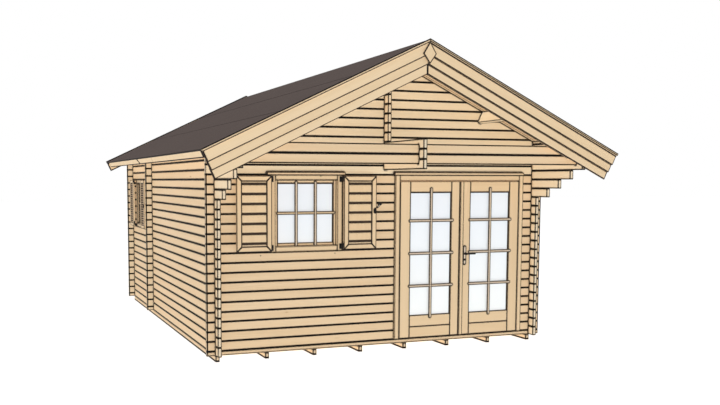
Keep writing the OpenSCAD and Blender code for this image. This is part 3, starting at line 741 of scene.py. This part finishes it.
K = Kit(73)
for x0, x1 in ((-1489, -531), (105, 1905)):
    pts = [(-40, 2099), (-20.4, 2099), (-20.4, 2105.4), (0, 2105.4), (0, 2136), (-36, 2136), (-40, 2132)]
    K.slab(H(x0, 0, 0), Y, Z, pts, 0, x1 - x0, bevel=1.6, grain=X, rim=6)
    # dark strip along the top of the trim, against the wall: painted shadow line
    K.box(x0 + 2, x1 - 2, -15, -0.2, 2135.4, 2143, bevel=0.8, mat=2, end=2)
K.make("head_boards", [joinery, joinery_end, arris_wood], "cabin", ["head_trims"])

# ---------------------------------------------------------------- doors
DX0, DX1 = 126.0, 1910.0
K = Kit(81)
for a, b, s in ((DX0, DX0 + 60, 1), (DX1 - 60, DX1, -1)):
    o0, o1 = (a, a + 59) if s > 0 else (b - 59, b)
    K.box(o0, o1, -20, 22, SILL_Z, HEAD_Z, grain="z", bevel=2.5)
    l0, l1 = (a, a + 44) if s > 0 else (b - 44, b)
    K.box(l0, l1, 22.4, 65, SILL_Z, HEAD_Z, grain="z", bevel=2.0)
K.box(DX0 + 59.8, DX1 - 59.8, -19, 22, HEAD_Z - 71, HEAD_Z, bevel=2.5)
K.box(DX0 + 44.6, DX1 - 44.6, 22.4, 65, HEAD_Z - 56, HEAD_Z, bevel=2.0)
K.make("door_casing", [joinery, joinery_end], "cabin", ["door_frame"])


def strap_hinge(K, px, d, zs, mat):
    """Moving half: knuckle and leaf with screws on the inside face of a door leaf."""
    for z in zs:
        K.rod(H(px, 30, z + 45), Z, 7, 44, bevel=1.5, mat=mat)
        pts = stadium(px + d * 25, z + 67, 25, 20)
        K.slab(H(0, 22.2, 0), X, Z, pts, 0, -4.0, bevel=0.8, mat=mat, end=mat)
        for sx in (16, 36):
            for sz in (56, 78):
                K.rod(H(px + d * sx, 26, z + sz), Y, 3.6, 1.6, bevel=0.8, n=12, mat=mat)


def leaf(K, x0, x1, g0, g1):
    z0, z1, gz0, gz1 = 130.0, 2028.0, 403.0, 1896.0
    y0, y1 = -18.0, 22.0
    r = {"rim": 4.5, "rimmat": 4}
    K.box(x0, g0 - 0.8, y0, y1, z0, z1, grain="z", bevel=2.2, **r)
    K.box(g1 + 0.8, x1, y0, y1, z0, z1, grain="z", bevel=2.2, **r)
    K.box(g0, g1, y0 + 0.6, y1 - 0.6, gz1, z1, bevel=2.2, **r)
    K.box(g0, g1, y0 + 0.6, y1 - 0.6, z0, 263.6, bevel=2.2, **r)
    K.box(g0, g1, y0 + 0.6, y1 - 0.6, 265.4, gz0, bevel=2.2, **r)
    for a, b in ((g0, g0 + 11), (g1 - 11, g1)):
        K.box(a, b, 4.3, 14, gz0, gz1, grain="z", bevel=3)
    for a, b in ((gz0, gz0 + 11), (gz1 - 11, gz1)):
        K.box(g0 + 11, g1 - 11, 4.3, 14, a, b, bevel=3)
    gasket(K, g0, g1, gz0, gz1, -4, -0.2, 11)
    c = (g0 + g1) / 2
    bars(K, (c,), 366, 1950, (762, 1158, 1554), g0 - 18, g1 + 29, y0 - 9, y0 + 0.2, 26.0)
    bars(K, (c,), 380, 1920, (762, 1158, 1554), g0 - 18, g1 + 18, y1 - 0.2, y1 + 6, 22.0)


HZ = (330, 1080, 1830)
K = Kit(91)
leaf(K, 191, 999.5, 327, 886)
strap_hinge(K, 188.5, 1, HZ, 3)
K.make("left_leaf", [joinery, joinery_end, bar_wood, iron_mat, painted_gap_shade], "door_left", ["door_leaf_left"])
K = Kit(92)
leaf(K, 1006.5, 1845, 1152, 1711)
strap_hinge(K, 1847.5, -1, HZ, 3)
# cover strip over the meeting edges
K.box(1006.5, 1052, -30, -18.2, 130, 2028, grain="z", bevel=3.0)
K.make("right_leaf", [joinery, joinery_end, bar_wood, iron_mat, painted_gap_shade], "door_right", ["door_leaf_right"])
paint("door_glass_left", glass_mat)
paint("door_glass_right", glass_mat)

K = Kit(93)
for z in HZ:
    for px, d in ((188.5, -1), (1847.5, 1)):
        K.rod(H(px, 30, z), Z, 7, 44, bevel=1.5)
        K.rod(H(px, 30, z - 5), Z, 5, 5, bevel=2.0)
        K.slab(H(0, 22.3, 0), X, Z, stadium(px + d * 12, z + 22, 12, 20), 0, -4.2, bevel=0.8, end=0)
K.make("door_frame_hinges", [iron_mat], "cabin", ["door_hinges"])

K = Kit(94)
LX, LZ = 1079.0, 1138.0
for y0, s in ((-18.0, -1), (22.0, 1)):
    # dark backing rim, bright plate on it
    K.slab(H(0, y0, 0), X, Z, stadium(LX, 1118, 22.5, 122.5, 10), 0, -5 * s, bevel=1.2, seg=2, mat=1, end=1)
    K.slab(H(0, y0 + 5 * s, 0), X, Z, stadium(LX, 1118, 10.5, 110.0, 10), 0, -3 * s, bevel=1.2, seg=2, end=0)
    # keyhole escutcheon with its slot, two screws
    yk = y0 + 8 * s
    K.rod(H(LX, yk, 1064), Y * s, 13.5, 1.4, bevel=0.8, n=28, mat=1)
    # the keyhole's opening is a dark disc and slot: painted shade
    K.rod(H(LX, yk + 1.4 * s, 1067), Y * s, 7.0, 0.5, bevel=0.2, n=20, mat=2)
    K.slab(H(0, yk + 1.4 * s, 0), X, Z, [(LX - 2.8, 1054), (LX + 2.8, 1054), (LX + 2.8, 1066), (LX - 2.8, 1066)], 0, -0.6 * s, bevel=0.1, mat=2, end=2)
    for z in (1016, 1220):
        K.rod(H(LX, yk, z), Y * s, 4.2, 1.0, bevel=0.7, n=16, mat=1)
K.make("lock_plates", [steel_mat, iron_mat, painted_gap_shade], "door_right", ["door_lock_plates"])

K = Kit(95)
K.rod(H(LX, -77, LZ), Y, 5.4, 158, bevel=1.0)
for y0, y1, s in ((-78.0, -64.0, 1), (68.0, 82.0, -1)):
    K.rod(H(LX, y0, LZ), Y, 14, 14, bevel=4.0)
    K.slab(H(0, y0, 0), X, Z, stadium(LX + 60, LZ, 66, 9), 0, -14, bevel=4.0, seg=3, end=0, smooth=True)
for y0 in (-44.0, 30.5):
    K.rod(H(LX, y0, LZ), Y, 16, 13, bevel=3.0)
K.make("lever_handle", [iron_mat], "door_handle", ["door_handle"])


# ---------------------------------------------------------------- shutters
def shutter(K, w, z0, z1, style, catch=None):
    """Runs in +x from the pin at 0, 30 thick about y = 0 (here house y = YM)."""
    x0, x1, t = 10.5, 10.5 + w, 15.0
    f = 62.0 if style == "boards" else 52.0
    yo = YM
    c = 0.5
    quads = (
        ([(x0, z0), (x1, z0), (x1 - f, z0 + f), (x0 + f, z0 + f)], X),
        ([(x0, z1), (x0 + f, z1 - f), (x1 - f, z1 - f), (x1, z1)], X),
        ([(x0, z0), (x0 + f, z0 + f), (x0 + f, z1 - f), (x0, z1)], Z),
        ([(x1, z0), (x1, z1), (x1 - f, z1 - f), (x1 - f, z0 + f)], Z),
    )
    for pts, g in quads:
        cx = sum(p[0] for p in pts) / 4
        cz = sum(p[1] for p in pts) / 4
        q = [(x + (c if x < cx else -c) * (0 if g is X else 1) , z + (c if z < cz else -c) * (0 if g is Z else 1)) for x, z in pts]
        K.slab(H(0, yo - t, 0), X, Z, q, 0, -2 * t, bevel=2.2, grain=g, rim=6, rimmat=6,
               faces=0 if style == "boards" else 2)
    a, b = x0 + f, x1 - f
    # dark core between the two faces, seen in the gaps between boards and slats: painted shade
    core = 1.0 if style == "boards" else 9.0
    K.box(a - 0.5, b + 0.5, yo - core, yo + core, z0 + f - 0.5, z1 - f + 0.5, bevel=0.2, mat=2, end=2)
    if style == "boards":
        joints = [1999 - 111.5 * k for k in range(7)]
        edge = [z1 - f] + joints + [z0 + f]
        for i in range(len(edge) - 1):
            hi_, lo_ = edge[i], edge[i + 1]
            hi_ -= 11 if i else 0
            lo_ += 10 if i < len(edge) - 2 else 0
            if hi_ - lo_ < 8:
                continue
            for s in (-1, 1):
                # bevelled boards lean out at the foot and shade the gap below
                y_foot, y_head = 9.0, 4.5
                pts = [(s * 1.2, lo_ + 3), (s * y_foot, lo_), (s * y_head, hi_), (s * 1.2, hi_)]
                K.slab(H(a + 0.6, yo, 0), Y, Z, pts, 0, b - a - 1.2, bevel=0.8, grain=X, mat=4, end=4)
    else:
        pitch = 35.0
        n = int((z1 - z0 - 2 * f) / pitch)
        p = (z1 - z0 - 2 * f) / n
        for i in range(n):
            z = z0 + f + i * p
            for s in (-1, 1):
                pts = [(s * 8.8, z + 12), (s * 12.6, z + 5), (s * 12.6, z + 13), (s * 8.8, z + 20)]
                K.slab(H(a + 0.6, yo, 0), Y, Z, pts, 0, b - a - 1.2, bevel=0.8, grain=X, mat=5, end=5)
    if catch:
        K.slab(H(0, yo - t, 0), X, Z, stadium(x1 - 20, catch - 4, 18, 31), 0, 3.5, bevel=1.0, mat=3, end=3)
        K.rod(H(x1 - 18, yo - t - 3.5, catch), -Y, 13, 8, bevel=3.0, mat=3)
    # hinge: knuckle, and a leaf let into the edge
    for z in (z0 + 44, z1 - 32):
        K.rod(H(0, yo, z), Z, 7, 30, bevel=1.5, mat=3)
        K.box(0, 41, yo - 2, yo + 2, z, z + 30, bevel=0.5, mat=3, end=3)
        K.box(7.4, 10.4, yo - 13, yo + 13, z, z + 30, bevel=0.8, mat=3, end=3)
        for s in (-1, 1):
            K.rod(H(7.6, yo + s * 8, z + 15), -X, 3.2, 1.2, bevel=0.8, n=12, mat=3)


def place(x, y, deg):
    return (Matrix.Translation(H(x, y, 0)) @ Matrix.Rotation(math.radians(deg), 4, "Z"))


SH = (
    ("front_shutter_left", 416, 1236, 2092, "boards", -1433.5, -60, 180),
    ("front_shutter_right", 416, 1236, 2092, "boards", -574.5, -60, 0),
    ("side_shutter_front", 316, 1291, 2042, "slats", -HW - 60, 4325.5, -90),
    ("side_shutter_rear", 316, 1291, 2042, "slats", -HW - 60, 4984.5, 90),
)
for k, (name, w, z0, z1, style, px, py, deg) in enumerate(SH):
    K = Kit(101 + k)
    shutter(K, w, z0, z1, style, {"front_shutter_right": 1689, "side_shutter_front": 1644, "side_shutter_rear": 1644}.get(name))
    K.make(name + "_made", [*((joinery, joinery_end) if style == "boards" else (thin_joinery, thin_end)), painted_gap_shade, iron_mat, infill_wood, slat_wood, arris_wood], name, [name], turn=place(px, py, deg))

# fixed brackets of the shutters, on the pin's axis
K = Kit(111)
for (name, w, z0, z1, style, px, py, deg), d, rot in zip(SH, (1, -1, -1, 1), (0, 0, -90, -90)):
    M = place(px, py, rot)
    B = Kit(112)
    for z in (z0 + 44, z1 - 32):
        B.rod(H(0, YM, z - 31), Z, 7, 30, bevel=1.5)
        B.box(-4, 4, YM, YM + 37, z - 31, z - 1, bevel=1.0, end=0)
        xa, xb = (-12, 24) if d > 0 else (-24, 12)
        B.slab(H(0, YM + 36, 0), X, Z, [(xa, z - 38), (xb, z - 38), (xb, z + 24), (xa, z + 24)], 0, -4, bevel=1.2, seg=2, end=0)
        for sz in (-27, 13):
            B.rod(H((xa + xb) / 2 + d * 5, YM + 32.2, z + sz), -Y, 3.6, 1.6, bevel=0.8, n=12)
        # thin washer between the knuckles
        B.rod(H(0, YM, z - 1), Z, 8.2, 1.0, bevel=0.2, n=20)
    n0 = len(K.v)
    K.v += [(M @ Vector(p))[:] for p in B.v]
    K.f += [[n0 + i for i in f] for f in B.f]
    K.m += B.m
    K.s += B.s
    K.g += B.g
    K.t += B.t
K.make("shutter_pintles", [iron_mat], "cabin", ["shutter_brackets"])


def stay(K, x, y, z, rot, flip):
    """Hook stay: rosette, standing pin, light strap and a ball at each end."""
    B = Kit(121)
    B.rod(H(0, YM, z), -Y, 15, 5, bevel=2.0, mat=0)
    for a in (45, 225):
        B.rod(H(9.5 * math.cos(math.radians(a)), YM - 5, z + 9.5 * math.sin(math.radians(a))), -Y, 2.4, 1.0, bevel=0.6, n=10, mat=0)
    B.rod(H(0, YM - 4, z), -Y, 5.5, 50, bevel=0.5, mat=0)
    B.rod(H(0, YM - 49, z), -Y, 16, 14, bevel=4.0, mat=0)
    a = math.radians(45) * flip
    D = Vector((-math.sin(a), 0, -math.cos(a)))
    S = Vector((-math.cos(a), 0, math.sin(a)))
    sgn = -1 if D.cross(S).y > 0 else 1
    # dark bar with a bright worn face
    B.slab(H(0, YM, z), D, S, stadium(29, 0, 40, 11.5), 50 * sgn, 58 * sgn, bevel=1.4, mat=0, end=0)
    B.slab(H(0, YM, z), D, S, stadium(33, 0, 19, 5.0), 57.8 * sgn, 58.8 * sgn, bevel=0.3, mat=1, end=1)
    B.rod(H(0, YM - 50, z) + D * 0.059, -Y, 8.6, 13, bevel=3.0, mat=0)
    M = place(x, y, rot)
    n0 = len(K.v)
    K.v += [(M @ Vector(p))[:] for p in B.v]
    K.f += [[n0 + i for i in f] for f in B.f]
    K.m += B.m
    K.s += B.s
    K.g += B.g
    K.t += B.t


K = Kit(122)
GAPX = 60
stay(K, -574.5 + 10.5 + 416 + GAPX, 0, 1763, 0, 1)
stay(K, -HW, 4984.5 + 10.5 + 316 + GAPX, 1718, -90, -1)
stay(K, -HW, 4325.5 - 10.5 - 316 - GAPX, 1718, -90, 1)
K.make("shutter_stay_hooks", [iron_mat, strap_mat], "cabin", ["shutter_stays"])

# two screw heads in the log under the window
K = Kit(131)
for x, z in ((-1557, 1187), (-645, 1191)):
    K.rod(H(x, 0.4, z), -Y, 5.5, 2.0, bevel=0.8, n=14)
K.make("wall_screws", [iron_mat], "cabin", ())

# ---------------------------------------------------------------- studio
me = bpy.data.meshes.new("studio_floor")
s = 70
me.from_pydata([(-s, -s, 0), (s, -s, 0), (s, s, 0), (-s, s, 0)], [], [(0, 1, 2, 3)])
fl = bpy.data.objects.new("studio_floor", me)
SC.collection.objects.link(fl)
F = Nodes("studio_white")
tc = F.add("ShaderNodeTexCoord")
F.put(F.bsdf.inputs["Base Color"], F.mix(F.noise(tc.outputs["Object"], 0.4), (0.93, 0.93, 0.93), (0.95, 0.95, 0.95)))
F.bsdf.inputs["Roughness"].default_value = 0.95
F.bsdf.inputs["Specular IOR Level"].default_value = 0.0
me.materials.append(F.mat)

W = bpy.data.worlds.new("studio_world")
SC.world = W
W.use_nodes = True
wn = W.node_tree
bg = wn.nodes["Background"]
bg.inputs["Color"].default_value = (1, 1, 1, 1)
lp = wn.nodes.new("ShaderNodeLightPath")
mr = wn.nodes.new("ShaderNodeMapRange")
mr.inputs["To Min"].default_value = 0.33
mr.inputs["To Max"].default_value = 1.0
wn.links.new(lp.outputs["Is Camera Ray"], mr.inputs["Value"])
wn.links.new(mr.outputs["Result"], bg.inputs["Strength"])


def sun(name, energy, elev, azim, angle, shadow=True):
    """azim 0 shines from -Y (the front), positive towards -X (the left)."""
    L = bpy.data.lights.new(name, "SUN")
    L.energy = energy
    L.angle = math.radians(angle)
    L.use_shadow = shadow
    try:
        L.cycles.cast_shadow = shadow
    except Exception:
        pass
    ob = bpy.data.objects.new(name, L)
    SC.collection.objects.link(ob)
    e, a = math.radians(elev), math.radians(azim)
    src = Vector((-math.sin(a) * math.cos(e), -math.cos(a) * math.cos(e), math.sin(e)))
    ob.rotation_mode = "QUATERNION"
    ob.rotation_quaternion = src.to_track_quat("Z", "Y")
    return ob


sun("key", 1.12, 8, 44, 20, False)
sun("fill", 1.08, 8, 224, 20, False)
sun("top", 2.22, 90, 0, 40, False)
sun("bounce", 0.3, -90, 0, 40, False)

cam = bpy.data.cameras.new("photo_camera")
co = bpy.data.objects.new("photo_camera", cam)
SC.collection.objects.link(co)
cam.sensor_width = 36
cam.lens = 863.688 * 36 / 720
cam.shift_x = (360 - 294.115) / 720
cam.shift_y = (255.223 - 202.5) / 720
f = Vector((0.33861, 0.93694, -0.08650)).normalized()
z = -f
x = f.cross(Vector((0, 0, 1))).normalized()
y = z.cross(x)
co.matrix_world = Matrix(((x.x, y.x, z.x, -4.5171), (x.y, y.y, z.y, -9.3074 - YM / 1000.0), (x.z, y.z, z.z, 2.0409), (0, 0, 0, 1)))
cam.clip_end = 300
SC.camera = co
SC.view_settings.view_transform = "Standard"
